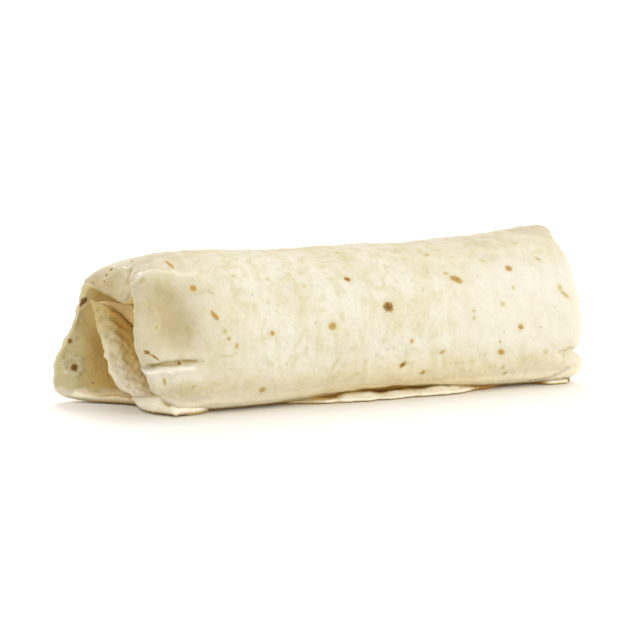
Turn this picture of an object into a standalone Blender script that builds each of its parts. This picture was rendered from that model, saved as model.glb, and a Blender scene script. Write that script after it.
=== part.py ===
"""A flour tortilla rolled into a wrap, lying along X on its own seam.

The open folded end is at -X, the front at -Y, the top at +Z, and the table is the plane z = 0.
Sizes and places are in millimetres, and become metres where a mesh is made. A place on a loop
round the roll is its turn, from 0 under the roll to 0.25 at the front, 0.5 on top and 0.75 at
the back.
"""

import bpy
import numpy as np

MM = 0.001

# The shapes below are worked out about the roll's own axis. This is the middle of their box, which
# the finished solids are moved by, so that the box stands centred on the origin.
BOX_MIDDLE = (2.5, -0.25, 0.0)

# The roll: a superellipse whose widest level is a part of its height, and which would sag a little
# below the table if the table didn't press it flat
TOP_HEIGHT = 57.0
HALF_WIDTH = 31.0
TOP_FULLNESS = 2.3
UNDER_FULLNESS = 2.7
WIDEST_LEVEL = 0.46
FLAT_SAG = 1.4
ROLL_START = -46.0
ROLL_END = 93.4
AROUND = 72
ALONG = 20

# Where the roll is uneven: a shoulder behind the open end, a rise to the closed end, a slight
# waist, and an undercut above the seam flap
SHOULDER_RISE = 2.2
SHOULDER_X = -50.0
SHOULDER_REACH = 14.0
CROWN_RISE = 1.5
CROWN_X = -75.0
CROWN_REACH = 9.0
CROWN_LEVELS = (42.0, 50.0)
END_RISE = 3.2
END_RISE_ALONG = (54.0, 98.0)
WAIST_DEPTH = 0.8
WAIST_X = -25.0
WAIST_REACH = 25.0
UNDERCUT_LIFT = 2.4
UNDERCUT_X = 26.0
UNDERCUT_REACH = 24.0
UNDERCUT_TURN = 0.105
UNDERCUT_SPREAD = 0.035

# The closed end at +X: a level slit, the upper layer tucked in above it, a rounded lobe below
END_DEPTH = 7.0
END_FULLNESS = 2.8
END_CORNER = 2.0
END_ROWS = 10
SLIT_LEVEL = 13.0
SLIT_WIDTH = 0.85
SLIT_DEPTH = 5.0
SLIT_SPREAD = 2.2
SLIT_RUN = 12.0
SLIT_NARROWING = 0.07
TUCK_DEPTH = 2.0
TUCK_SPREAD = 8.8
LOBE_DEPTH = 3.5
LOBE_LEVEL = 2.0
LOBE_SPREAD = 6.0
LOBE_EASE = 4.0

# The front near the open end: a slanting hollow, and below it a fold that stands out
FRONT_STARTS = (8.0, 20.0)
HOLLOW_X = -62.0
HOLLOW_LEVEL = 24.0
HOLLOW_SLANT = 0.6
HOLLOW_REACH = 6.5
HOLLOW_DEPTH = 2.4
HOLLOW_BOTTOM = (20.0, 28.0)
HOLLOW_TOP = (46.0, 55.0)
FOLD_STAND = 1.4
FOLD_BOTTOM = (8.0, 15.0)
FOLD_TOP = (-2.5, 1.5)
FOLD_END = (-70.0, -56.0)
CREASE_LEVEL = 22.0
CREASE_RISE = 4.0
CREASE_RISE_ALONG = (-74.0, -84.0)

# The open end at -X, and the pocket inside it
RIM_LEVELS = 8
RIM_STEP = 0.004
RIM_LEAVING = 1.3
RIM_ARRIVING = 0.6
NOSE_STEPS = 5
POCKET_X = -69.0
POCKET_CENTRE = 23.0
POCKET_NARROWING = 0.80
POCKET_LOWERING = 0.70
POCKET_DISHING = 1.5
POCKET_ROWS = 3
FLOOR_ROWS = 3

# The rim of the open end. Each row: turn, the fold's outermost point, the way the sheet arrives
# there, and the fold's radius.
RIM = [
    (0.000, (-77.0, 5.0, 1.6), (-0.9, -0.3, 0.0), 1.4),
    (0.030, (-72.5, -3.0, 1.8), (-0.9, -0.2, 0.0), 1.5),
    (0.060, (-69.0, -11.0, 2.0), (-0.9, -0.2, 0.0), 1.6),
    (0.085, (-67.5, -17.5, 2.9), (-0.9, -0.1, 0.0), 1.7),
    (0.110, (-69.5, -20.5, 5.0), (-0.9, 0.1, 0.0), 1.7),
    (0.140, (-74.0, -21.8, 8.2), (-0.9, 0.2, 0.0), 1.8),
    (0.170, (-78.5, -22.8, 12.0), (-0.9, 0.3, 0.0), 2.0),
    (0.210, (-83.0, -25.0, 19.5), (-0.9, 0.4, 0.0), 2.2),
    (0.260, (-87.0, -27.0, 30.0), (-0.85, 0.5, 0.0), 2.2),
    (0.300, (-86.0, -26.0, 38.5), (-0.85, 0.5, 0.0), 2.2),
    (0.345, (-84.5, -22.0, 46.0), (-0.8, 0.4, -0.3), 2.4),
    (0.380, (-83.0, -16.5, 49.5), (-0.7, 0.3, -0.6), 2.4),
    (0.410, (-82.0, -13.0, 45.5), (-0.5, 0.0, -0.9), 2.0),
    (0.450, (-83.0, -7.0, 42.0), (-0.3, 0.0, -0.9), 2.6),
    (0.500, (-84.0, 2.0, 42.5), (-0.3, 0.0, -0.9), 2.8),
    (0.560, (-85.5, 11.0, 44.0), (-0.4, 0.1, -0.9), 2.6),
    (0.610, (-88.5, 18.5, 46.0), (-0.7, 0.2, -0.6), 2.2),
    (0.660, (-90.0, 22.5, 38.5), (-0.9, 0.1, -0.2), 1.7),
    (0.710, (-91.6, 24.5, 30.0), (-0.9, 0.1, -0.2), 1.5),
    (0.760, (-95.2, 26.5, 21.5), (-0.9, 0.1, -0.2), 1.4),
    (0.810, (-98.0, 27.5, 14.0), (-0.9, 0.1, -0.1), 1.3),
    (0.860, (-98.5, 27.5, 7.0), (-0.9, 0.1, 0.0), 1.2),
    (0.900, (-96.5, 25.0, 2.4), (-0.9, 0.0, 0.0), 1.2),
    (0.950, (-88.0, 15.0, 1.6), (-0.9, -0.2, 0.0), 1.3),
]

# The inner turn, tucked inside the open end as two folded panels that face the front. A panel's
# outline is a closed curve of (along, up) places from its free tip, along PANEL_ALONG and
# PANEL_UP.
PANEL_TIP = (-89.4, 10.0, 40.6)
PANEL_ALONG = (0.90, -0.43, 0.0)
PANEL_UP = (-0.14, 0.49, 0.86)
FRONT_PANEL = [
    (0.0, 0.0),
    (-0.6, -7.0),
    (-1.2, -14.0),
    (-1.6, -21.0),
    (-2.0, -28.0),
    (-1.6, -34.5),
    (1.5, -38.5),
    (11.0, -38.5),
    (21.0, -37.5),
    (21.0, -18.0),
    (12.7, -9.3),
    (6.1, -2.8),
]
BACK_PANEL = [
    (0.8, -0.4),
    (1.0, -10.0),
    (2.0, -20.0),
    (5.0, -31.0),
    (20.0, -34.0),
    (24.0, -18.0),
    (23.0, -2.0),
    (14.0, -0.6),
    (6.0, 0.5),
]
FRONT_PANEL_THICKNESS = 5.0
BACK_PANEL_THICKNESS = 3.6
BACK_PANEL_SETBACK = 2.8
PANEL_ROUNDING = 0.2
PANEL_POINTS = 30
PANEL_RINGS = 5

# The corner lip, where the bottom layer's fold shows below the front at the open end. Each row: the
# fold's middle and its radius.
CORNER_LIP = [
    ((-69.5, 7.0, 1.6), 1.5),
    ((-72.4, -2.0, 2.9), 2.9),
    ((-71.2, -9.0, 3.2), 3.2),
    ((-69.0, -14.8, 2.8), 2.8),
    ((-65.5, -18.3, 2.1), 2.1),
    ((-59.5, -18.6, 1.5), 1.5),
    ((-52.0, -14.5, 1.2), 1.1),
]
LIP_WIDENING = 1.15
LIP_ROWS = 22
LIP_AROUND = 12

# The seam flap, the tortilla's free edge showing under the front and again at the closed end
FLAP_THICKNESS = 2.0
FLAP_START = -22.0
FLAP_BOW_END = 76.0
FLAP_END = 102.0
FLAP_ROOT_Y = -4.0
FLAP_HIDDEN = 11.0
FLAP_BOW = 11.0
FLAP_BOW_FULLNESS = 0.6
FLAP_WAVE = 0.7
FLAP_WAVE_LENGTH = 27.0
FLAP_LIFT = 0.5
FLAP_LIFT_LENGTH = 38.3
FLAP_LIFT_PHASE = 1.0
FLAP_CORNER = 9.5
FLAP_CORNER_ALONG = (80.0, 92.0)
FLAP_CORNER_ROUNDING = 0.4
FLAP_CORNER_TIP = (98.0, 102.0)
FLAP_ROWS = 48
FLAP_EDGE_STEPS = 5
CLEAR_OF_TABLE = 0.15


def eased(low, high, value):
    """0 below low and 1 above high, with a smooth step between them."""
    part = np.clip((value - low) / (high - low), 0.0, 1.0)
    return part * part * (3.0 - 2.0 * part)


def hump(value, middle, reach):
    """1 at middle, fading to nothing about two reaches away."""
    return np.exp(-(((value - middle) / reach) ** 2))


def unit(vectors):
    return vectors / np.linalg.norm(vectors, axis=-1, keepdims=True)


def ring_curve(knots, values, turns):
    """A smooth closed curve through values at the knots, read at turns from 0 to 1."""
    knots = np.asarray(knots)
    values = np.asarray(values)
    wide_knots = np.concatenate([knots[-2:] - 1.0, knots, knots[:3] + 1.0])
    wide_values = np.concatenate([values[-2:], values, values[:3]])
    spans = (wide_knots[2:] - wide_knots[:-2])[:, None]
    slopes = (wide_values[2:] - wide_values[:-2]) / spans
    inner_knots = wide_knots[1:-1]
    inner_values = wide_values[1:-1]
    left = np.searchsorted(inner_knots, turns, side="right") - 1
    width = (inner_knots[left + 1] - inner_knots[left])[:, None]
    part = (turns - inner_knots[left])[:, None] / width
    return hermite(
        inner_values[left],
        slopes[left] * width,
        inner_values[left + 1],
        slopes[left + 1] * width,
        part,
    )


def hermite(start, start_slope, end, end_slope, part):
    """The cubic from start to end that leaves and arrives with the given slopes."""
    square = part * part
    cube = square * part
    return (
        (2 * cube - 3 * square + 1) * start
        + (cube - 2 * square + part) * start_slope
        + (3 * square - 2 * cube) * end
        + (cube - square) * end_slope
    )


def open_curve(points, part):
    """A smooth open curve through evenly spaced points, read at part from 0 to 1."""
    points = np.asarray(points)
    slopes = np.gradient(points, axis=0)
    place = part * (len(points) - 1)
    left = np.minimum(place.astype(int), len(points) - 2)
    rest = (place - left)[:, None]
    return hermite(points[left], slopes[left], points[left + 1], slopes[left + 1], rest)


def roll_section(x, turns):
    """The roll's outline at x: a superellipse, fuller below, pressed flat on the table."""
    top = TOP_HEIGHT + SHOULDER_RISE * hump(x, SHOULDER_X, SHOULDER_REACH)
    top = top + END_RISE * eased(*END_RISE_ALONG, x)
    half_width = HALF_WIDTH - WAIST_DEPTH * hump(x, WAIST_X, WAIST_REACH)
    widest = WIDEST_LEVEL * top
    side = np.sin(2 * np.pi * turns)
    up = -np.cos(2 * np.pi * turns)
    power = 2.0 / np.where(up > 0, TOP_FULLNESS, UNDER_FULLNESS)
    reach = np.where(up > 0, top - widest, widest + FLAT_SAG)
    y = -half_width * np.sign(side) * np.abs(side) ** power
    z = widest + reach * np.sign(up) * np.abs(up) ** power
    undercut = hump(x, UNDERCUT_X, UNDERCUT_REACH) * hump(turns, UNDERCUT_TURN, UNDERCUT_SPREAD)
    z = z + UNDERCUT_LIFT * undercut
    return np.stack([np.full_like(y, x), y, np.maximum(z, 0.0)], axis=-1)


def end_rings(turns):
    """Rings that close the +X end, drawn in from its rounded corner to one level slit."""
    outline = roll_section(ROLL_END, turns)
    rings = []
    for row in range(1, END_ROWS + 1):
        angle = 0.5 * np.pi * row / END_ROWS
        scale = np.sin(angle) ** (2.0 / END_FULLNESS)
        depth = END_DEPTH * max(np.cos(angle), 0.0) ** (2.0 / END_FULLNESS)
        lobe = hump(outline[:, 2], LOBE_LEVEL, LOBE_SPREAD) * eased(0.0, LOBE_EASE, depth)
        ring = outline.copy()
        ring[:, 0] += depth + LOBE_DEPTH * lobe
        ring[:, 1] *= SLIT_WIDTH + (1.0 - SLIT_WIDTH) * scale
        ring[:, 2] = SLIT_LEVEL + (ring[:, 2] - SLIT_LEVEL) * scale
        rings.append(ring)
    return rings


def slit_relief(rings):
    """The closed end's slit pinches the roll in, and its crease runs on round both corners."""
    x, y, z = rings[..., 0], rings[..., 1], rings[..., 2]
    pinch = hump(z, SLIT_LEVEL, SLIT_SPREAD) * eased(ROLL_END - SLIT_RUN, ROLL_END + END_CORNER, x)
    tuck = hump(z, SLIT_LEVEL, TUCK_SPREAD) * (z > SLIT_LEVEL)
    inward = SLIT_DEPTH * pinch + TUCK_DEPTH * tuck * (1.0 - pinch)
    rings[..., 0] = x - inward * eased(ROLL_END - END_CORNER, ROLL_END + END_CORNER, x)
    rings[..., 1] = y * (1.0 - SLIT_NARROWING * pinch)
    return rings


def open_end_relief(rings):
    """Near the open end, a slanting hollow, a fold that stands out below a crease, and a crown."""
    x, y, z = rings[..., 0], rings[..., 1], rings[..., 2]
    front = eased(*FRONT_STARTS, -y)
    hollow = hump(x, HOLLOW_X - HOLLOW_SLANT * (z - HOLLOW_LEVEL), HOLLOW_REACH)
    hollow = hollow * eased(*HOLLOW_BOTTOM, z) * (1.0 - eased(*HOLLOW_TOP, z))
    crease = CREASE_LEVEL + CREASE_RISE * eased(*CREASE_RISE_ALONG, x)
    fold = (1.0 - eased(*FOLD_TOP, z - crease)) * eased(*FOLD_BOTTOM, z)
    fold = fold * (1.0 - eased(*FOLD_END, x))
    crown = hump(x, CROWN_X, CROWN_REACH) * eased(*CROWN_LEVELS, z)
    rings[..., 1] += front * (HOLLOW_DEPTH * hollow - FOLD_STAND * fold)
    rings[..., 2] += CROWN_RISE * crown
    return rings


def rim_points(turns):
    """The rim's outermost points, arrival headings, fold radii and the loop's own headings."""
    knots = [row[0] for row in RIM]
    table = np.array([(*row[1], *row[2], row[3]) for row in RIM])
    values = ring_curve(knots, table, turns)
    ahead = ring_curve(knots, table[:, :3], (turns + RIM_STEP) % 1.0)
    behind = ring_curve(knots, table[:, :3], (turns - RIM_STEP) % 1.0)
    return values[:, :3], unit(values[:, 3:6]), values[:, 6:], unit(ahead - behind)


def pocket_floor(turns, scale):
    """A loop on the pocket's floor, shrunk from the roll's outline towards the middle."""
    outline = roll_section(ROLL_START, turns)
    x = np.full(len(turns), POCKET_X + POCKET_DISHING * (1.0 - scale))
    y = outline[:, 1] * POCKET_NARROWING * scale
    middle = 0.5 * outline[:, 2].max()
    z = POCKET_CENTRE + (outline[:, 2] - middle) * POCKET_LOWERING * scale
    return np.stack([x, y, z], axis=-1)


def open_end_rings(turns):
    """Rings from the roll to the rim, round the rim's fold, and down into the pocket."""
    start = roll_section(ROLL_START, turns)
    nose, arrival, radius, around = rim_points(turns)
    floor = pocket_floor(turns, 1.0)
    inward = unit(floor - nose)
    outward = unit(arrival - inward)
    centre = nose - radius * outward
    outer_normal = unit(np.cross(around, arrival))
    inner_normal = unit(np.cross(around, inward))

    outer = centre + radius * outer_normal
    length = np.linalg.norm(outer - start, axis=1, keepdims=True)
    leave = np.array([-RIM_LEAVING, 0.0, 0.0]) * length
    rings = []
    for level in range(1, RIM_LEVELS):
        part = level / RIM_LEVELS
        rings.append(hermite(start, leave, outer, RIM_ARRIVING * arrival * length, part))
    for step in range(NOSE_STEPS):
        part = step / (NOSE_STEPS - 1)
        if part <= 0.5:
            blend = (1 - 2 * part) * outer_normal + 2 * part * outward
        else:
            blend = (2 - 2 * part) * outward + (2 * part - 1) * inner_normal
        rings.append(centre + radius * unit(blend))
    inner = centre + radius * inner_normal
    for row in range(1, POCKET_ROWS + 1):
        rings.append(inner + (floor - inner) * row / POCKET_ROWS)
    for row in range(1, FLOOR_ROWS):
        rings.append(pocket_floor(turns, 1.0 - row / FLOOR_ROWS))
    return rings


def skin(name, rings, first, last):
    """A closed mesh over the rings, each end drawn together to one point."""
    rings = np.asarray(rings)
    rows, around, _ = rings.shape
    points = (np.concatenate([rings.reshape(-1, 3), [first, last]]) - BOX_MIDDLE) * MM
    row, place = np.meshgrid(np.arange(rows - 1), np.arange(around), indexing="ij")
    here = row * around + place
    there = row * around + (place + 1) % around
    quads = np.stack([here, there, there + around, here + around], axis=-1)
    faces = quads.reshape(-1, 4).tolist()
    first_index = rows * around
    for place in range(around):
        following = (place + 1) % around
        faces.append((first_index, following, place))
        base = (rows - 1) * around
        faces.append((first_index + 1, base + place, base + following))
    mesh = bpy.data.meshes.new(name)
    mesh.from_pydata(points.tolist(), [], faces)
    mesh.validate()
    mesh.shade_smooth()
    thing = bpy.data.objects.new(name, mesh)
    bpy.context.scene.collection.objects.link(thing)
    return thing


def roll():
    """The outer turn: closed end, roll, open rim and the pocket inside it, as one skin."""
    turns = np.arange(AROUND) / AROUND
    rings = end_rings(turns)
    for row in range(1, ALONG + 1):
        x = ROLL_END + (ROLL_START - ROLL_END) * row / ALONG
        rings.append(roll_section(x, turns))
    rings += open_end_rings(turns)
    rings = slit_relief(open_end_relief(np.array(rings)))
    first = (ROLL_END + END_DEPTH - SLIT_DEPTH, 0.0, SLIT_LEVEL)
    last = (POCKET_X + POCKET_DISHING, 0.0, POCKET_CENTRE)
    return skin("tortilla", rings, first, last)


def folded_panel(name, outline, thickness, setback):
    """A flat double layer of tortilla with a rounded fold all round its outline."""
    along, up = np.array(PANEL_ALONG), np.array(PANEL_UP)
    behind = unit(np.cross(up, along))
    turns = np.arange(PANEL_POINTS) / PANEL_POINTS
    knots = np.arange(len(outline)) / len(outline)
    flat = ring_curve(knots, outline, turns)
    middle = flat.mean(axis=0)
    half = 0.5 * thickness
    rings = []
    for angle in np.linspace(0.5 * np.pi, -0.5 * np.pi, PANEL_RINGS):
        edge = flat + (middle - flat) * PANEL_ROUNDING * (1.0 - np.cos(angle))
        depth = setback + half * np.sin(angle)
        place = PANEL_TIP + edge[:, :1] * along + edge[:, 1:] * up + depth * behind
        rings.append(place)
    rings = np.array(rings)
    return skin(name, rings, rings[0].mean(axis=0), rings[-1].mean(axis=0))


def corner_lip():
    """The bottom layer's fold at the open end's front corner: a tapering roll along a bent path."""
    table = np.array([(*row[0], row[1]) for row in CORNER_LIP])
    part = np.linspace(0.0, 1.0, LIP_ROWS)
    path = open_curve(table, part)
    heading = unit(np.gradient(path[:, :3], axis=0) * (1.0, 1.0, 0.0))
    outward = np.stack([heading[:, 1], -heading[:, 0]], axis=-1)
    angles = 2 * np.pi * np.arange(LIP_AROUND) / LIP_AROUND
    rings = np.empty((LIP_ROWS, LIP_AROUND, 3))
    for index, angle in enumerate(angles):
        reach = path[:, 3] * LIP_WIDENING * np.cos(angle)
        rings[:, index, :2] = path[:, :2] + outward * reach[:, None]
        rings[:, index, 2] = path[:, 2] + path[:, 3] * np.sin(angle)
    rings[..., 2] = np.maximum(rings[..., 2], CLEAR_OF_TABLE)
    rings = rings[::-1]
    return skin("corner_lip", rings, rings[0].mean(axis=0), rings[-1].mean(axis=0))


def flap_edge(x):
    """How far forward the seam flap's edge lies, and how far its ripples lift it off the table."""
    part = np.clip((x - FLAP_START) / (FLAP_BOW_END - FLAP_START), 0.0, 1.0)
    bow = np.sin(np.pi * part) ** FLAP_BOW_FULLNESS
    wave = np.sin(2.0 * np.pi * x / FLAP_WAVE_LENGTH)
    corner = eased(*FLAP_CORNER_ALONG, x) * (1.0 - FLAP_CORNER_ROUNDING * eased(*FLAP_CORNER_TIP, x))
    reach = (FLAP_BOW + FLAP_WAVE * wave) * bow + FLAP_CORNER * corner
    ripple = 1.0 + np.sin(2.0 * np.pi * x / FLAP_LIFT_LENGTH + FLAP_LIFT_PHASE)
    return -FLAP_HIDDEN - reach, CLEAR_OF_TABLE + FLAP_LIFT * bow * ripple


def seam_flap():
    """The free edge under the front: a thin sheet whose edge bows out and ripples."""
    half = 0.5 * FLAP_THICKNESS
    rings = []
    for x in np.linspace(FLAP_END, FLAP_START, FLAP_ROWS):
        edge, lift = flap_edge(x)
        outline = [(x, FLAP_ROOT_Y, CLEAR_OF_TABLE)]
        for angle in np.linspace(-0.5 * np.pi, 0.5 * np.pi, FLAP_EDGE_STEPS):
            y = edge + half * (1.0 - np.cos(angle))
            outline.append((x, y, lift + half * (1.0 + np.sin(angle))))
        outline.append((x, FLAP_ROOT_Y, CLEAR_OF_TABLE + FLAP_THICKNESS))
        rings.append(outline)
    rings = np.array(rings)
    return skin("seam_flap", rings, rings[0].mean(axis=0), rings[-1].mean(axis=0))


def join_into(body, addition):
    """Makes the addition part of the body's one solid."""
    addition.hide_render = True
    addition.display_type = "WIRE"
    union = body.modifiers.new("join " + addition.name, "BOOLEAN")
    union.operation = "UNION"
    union.solver = "EXACT"
    union.object = addition


def baked_dough():
    """Pale, dry, matt flour dough."""
    material = bpy.data.materials.new("baked_dough")
    material.use_nodes = True
    shader = material.node_tree.nodes["Principled BSDF"]
    shader.inputs["Base Color"].default_value = (0.84, 0.76, 0.58, 1.0)
    shader.inputs["Roughness"].default_value = 0.75
    shader.inputs["Metallic"].default_value = 0.0
    return material


for leftover in list(bpy.data.objects):
    bpy.data.objects.remove(leftover)

tortilla = roll()
tortilla.data.materials.append(baked_dough())
join_into(tortilla, folded_panel("front_panel", FRONT_PANEL, FRONT_PANEL_THICKNESS, 0.0))
join_into(tortilla, folded_panel("back_panel", BACK_PANEL, BACK_PANEL_THICKNESS, BACK_PANEL_SETBACK))
join_into(tortilla, corner_lip())
join_into(tortilla, seam_flap())
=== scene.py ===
import bpy
import numpy as np
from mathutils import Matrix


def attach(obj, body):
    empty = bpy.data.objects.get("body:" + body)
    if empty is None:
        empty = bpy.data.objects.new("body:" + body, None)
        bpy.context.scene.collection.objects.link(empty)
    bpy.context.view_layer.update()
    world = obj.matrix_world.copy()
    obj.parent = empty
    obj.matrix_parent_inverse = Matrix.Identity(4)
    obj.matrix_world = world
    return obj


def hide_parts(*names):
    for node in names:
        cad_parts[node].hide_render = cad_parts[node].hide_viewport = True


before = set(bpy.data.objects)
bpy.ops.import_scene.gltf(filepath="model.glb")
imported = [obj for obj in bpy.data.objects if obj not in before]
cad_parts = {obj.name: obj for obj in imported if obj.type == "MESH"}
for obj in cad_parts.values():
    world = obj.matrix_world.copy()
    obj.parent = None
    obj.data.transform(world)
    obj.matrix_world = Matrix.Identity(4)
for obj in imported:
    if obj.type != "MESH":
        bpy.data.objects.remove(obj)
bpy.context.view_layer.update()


# ------------------------------------------------------------------------------------------------
# The outer turn. A flour tortilla about 2 mm thick, baked on a hot plate until it has brown spots,
# and rolled up. Its closed end, the roll, the open end's rim and the pocket inside are one sheet.

# Sizes are in millimetres. A place on a loop round the roll is its turn: 0 under the roll, 0.25 at
# the front, 0.5 on top and 0.75 at the back.
MM = 0.001
TINY = 1e-9
X, Y, Z = range(3)
BOX_MIDDLE = (2.5, -0.25, 0.0)  # from the roll's own axis to the middle of the wrap

AROUND = 330
CAP_ROWS = 44
ROLL_ROWS = 136
SHEET_ROWS = 78
NOSE_ROWS = 9
POCKET_ROWS = 24
FLOOR_ROWS = 8
OUTER_ROWS = CAP_ROWS + ROLL_ROWS + SHEET_ROWS - 1 + NOSE_ROWS // 2

TOP_HEIGHT = 57.0
HALF_WIDTH = 31.0
TOP_FULLNESS = 2.3
UNDER_FULLNESS = 2.7
WIDEST_LEVEL = 0.46
FLAT_SAG = 1.4
ROLL_START = -46.0
ROLL_END = 93.4
SHOULDER_RISE = 2.2
SHOULDER_X = -50.0
SHOULDER_REACH = 14.0
END_RISE = 3.2
END_RISE_ALONG = (54.0, 98.0)
WAIST_DEPTH = 0.8
WAIST_X = -25.0
WAIST_REACH = 25.0
UNDERCUT_LIFT = 3.0
UNDERCUT_X = 20.0
UNDERCUT_REACH = 36.0
UNDERCUT_TURN = 0.092
UNDERCUT_SPREAD = 0.048

END_DEPTH = 7.0
END_FULLNESS = 2.8
END_CORNER = 2.0
SLIT_LEVEL = 13.0
SLIT_WIDTH = 0.85
SLIT_DEPTH = 2.8
SLIT_SPREAD = 1.9
SLIT_RUN = 7.0
SLIT_NARROWING = 0.07
TUCK_DEPTH = 1.6
TUCK_SPREAD = 8.8
LOBE_DEPTH = 5.0
LOBE_LEVEL = 3.0
LOBE_SPREAD = 5.5
LOBE_EASE = 4.0

FRONT_STARTS = (8.0, 20.0)
HOLLOW_X = -68.0
HOLLOW_LEVEL = 24.0
HOLLOW_SLANT = 0.30
HOLLOW_REACH = 9.0
HOLLOW_DEPTH = 3.6
HOLLOW_BOTTOM = (23.0, 34.0)
HOLLOW_TOP = (46.0, 55.0)
FOLD_STAND = 1.6
FOLD_BOTTOM = (8.0, 15.0)
FOLD_TOP = (-0.7, 0.4)
FOLD_END = (-70.0, -56.0)
CREASE_LEVEL = 21.4
CREASE_RISE = -2.0
CREASE_RISE_ALONG = (-76.0, -84.0)
CREASE_DEPTH = 1.5
CREASE_ABOVE = 0.9
CREASE_WIDTH = 0.55
CREASE_END = (-66.0, -59.0)
CROWN_RISE = 1.5
CROWN_X = -75.0
CROWN_REACH = 9.0
CROWN_LEVELS = (42.0, 50.0)

RIM_STEP = 0.004
RIM_LEAVING = 1.3
RIM_ARRIVING = 0.6
POCKET_X = -69.0
POCKET_CENTRE = 23.0
POCKET_NARROWING = 0.80
POCKET_LOWERING = 0.70
POCKET_DISHING = 1.5

# The rim. Each row: turn, the fold's outermost point, the way the sheet arrives, the fold's radius.
RIM = [
    (0.000, (-75.5, 8.5, 1.9), (-0.9, -0.3, 0.0), 1.4),
    (0.030, (-72.0, -1.0, 2.0), (-0.9, -0.2, 0.0), 1.5),
    (0.060, (-69.0, -11.0, 2.0), (-0.9, -0.2, 0.0), 1.6),
    (0.085, (-67.5, -17.5, 2.9), (-0.9, -0.1, 0.0), 1.7),
    (0.110, (-69.5, -20.5, 5.0), (-0.9, 0.1, 0.0), 1.7),
    (0.140, (-74.0, -21.8, 8.2), (-0.9, 0.2, 0.0), 1.8),
    (0.170, (-78.5, -22.8, 12.0), (-0.9, 0.3, 0.0), 2.0),
    (0.210, (-83.0, -25.0, 19.5), (-0.9, 0.4, 0.0), 2.2),
    (0.260, (-87.0, -27.0, 30.0), (-0.85, 0.5, 0.0), 2.2),
    (0.300, (-86.0, -26.0, 38.5), (-0.85, 0.5, 0.0), 2.2),
    (0.345, (-84.5, -22.0, 46.0), (-0.8, 0.4, -0.3), 2.4),
    (0.380, (-83.0, -16.5, 49.5), (-0.7, 0.3, -0.6), 2.4),
    (0.410, (-82.0, -13.0, 45.5), (-0.5, 0.0, -0.9), 2.0),
    (0.450, (-83.0, -7.0, 42.0), (-0.3, 0.0, -0.9), 2.6),
    (0.500, (-84.0, 2.0, 42.5), (-0.3, 0.0, -0.9), 2.8),
    (0.560, (-85.5, 11.0, 44.0), (-0.4, 0.1, -0.9), 2.6),
    (0.610, (-88.5, 18.5, 46.0), (-0.7, 0.2, -0.6), 2.2),
    (0.660, (-90.0, 22.5, 38.5), (-0.9, 0.1, -0.2), 1.7),
    (0.710, (-91.6, 24.5, 30.0), (-0.9, 0.1, -0.2), 1.5),
    (0.760, (-95.2, 26.5, 21.5), (-0.9, 0.1, -0.2), 1.4),
    (0.810, (-98.0, 27.5, 14.0), (-0.9, 0.1, -0.1), 1.3),
    (0.860, (-98.5, 27.5, 7.0), (-0.9, 0.1, 0.0), 1.2),
    (0.900, (-96.0, 27.0, 3.2), (-0.9, 0.0, 0.0), 1.2),
    (0.950, (-87.0, 19.0, 2.0), (-0.9, -0.2, 0.0), 1.3),
]

# Creases and pleats in the outside. Each: its height (below 0 for a groove), its width, how much
# painted shade it gets (below 0 for a painted highlight or glint), and the places (x, turn) it runs
# through.
CREASES = [
    (0.50, 0.60, -0.9, [(-83.5, 0.368), (-81.7, 0.368), (-79.9, 0.378)]),
    (0.45, 0.60, -0.8, [(-80.3, 0.446), (-78.5, 0.465), (-76.5, 0.479)]),
    (0.40, 0.55, -0.7, [(-81.0, 0.474), (-79.7, 0.490), (-78.7, 0.507)]),
    (-0.50, 0.70, 0.5, [(-81.1, 0.456), (-79.3, 0.476), (-77.6, 0.492)]),
    (-0.50, 0.80, 0.5, [(-79.5, 0.435), (-78.5, 0.450), (-77.5, 0.460)]),
    (-0.40, 0.80, 0.5, [(-81.6, 0.364), (-80.2, 0.368)]),
    (0.20, 0.40, -1.3, [(-77.7, 0.527), (-77.8, 0.509), (-77.0, 0.507)]),
    (-0.80, 0.8, 0.8, [(-76.5, 0.158), (-72.0, 0.131), (-67.5, 0.112), (-61.0, 0.100)]),
    (0.40, 1.4, 0.0, [(-72.0, 0.141), (-67.0, 0.124), (-61.0, 0.114)]),
    (-0.60, 0.9, 0.5, [(90.5, 0.193), (92.0, 0.193), (95.0, 0.200)]),
    (-0.70, 0.7, 0.4, [(84.0, 0.100), (90.0, 0.112), (93.5, 0.132), (95.4, 0.143)]),
    (-0.80, 0.6, 0.5, [(82.0, 0.090), (88.5, 0.094), (94.0, 0.098), (99.0, 0.092)]),
    (-0.22, 1.4, 0.1, [(76.0, 0.289), (77.5, 0.257), (80.5, 0.230)]),
    (-0.20, 0.9, 0.1, [(81.5, 0.275), (84.5, 0.255)]),
    (-0.20, 1.2, 0.1, [(78.0, 0.375), (82.0, 0.350), (84.0, 0.320)]),
    (-0.15, 0.5, 0.3, [(18.2, 0.396), (18.2, 0.379), (15.5, 0.360), (15.0, 0.347)]),
    (-0.12, 0.5, 0.2, [(-6.0, 0.422), (0.6, 0.418), (5.4, 0.403)]),
    (-0.18, 0.5, 0.4, [(-57.0, 0.347), (-54.6, 0.343)]),
    (-0.15, 0.5, 0.4, [(-53.4, 0.240), (-50.0, 0.238), (-47.5, 0.242)]),
    (-0.18, 0.80, 0.9, [(-82.1, 0.226), (-78.9, 0.226), (-75.0, 0.227), (-71.0, 0.229)]),
    (-0.15, 0.45, 0.7, [(-70.2, 0.232), (-66.3, 0.233), (-63.3, 0.233)]),
    (0.22, 1.00, -0.7, [(-83.2, 0.213), (-77.0, 0.218), (-70.0, 0.221), (-65.0, 0.222)]),
    (-0.60, 1.0, 0.2, [(-60.0, 0.640), (-30.0, 0.655), (10.0, 0.640), (52.0, 0.662)]),
    (0.35, 2.2, 0.0, [(-60.0, 0.655), (-30.0, 0.670), (10.0, 0.655), (52.0, 0.675)]),
]
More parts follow.
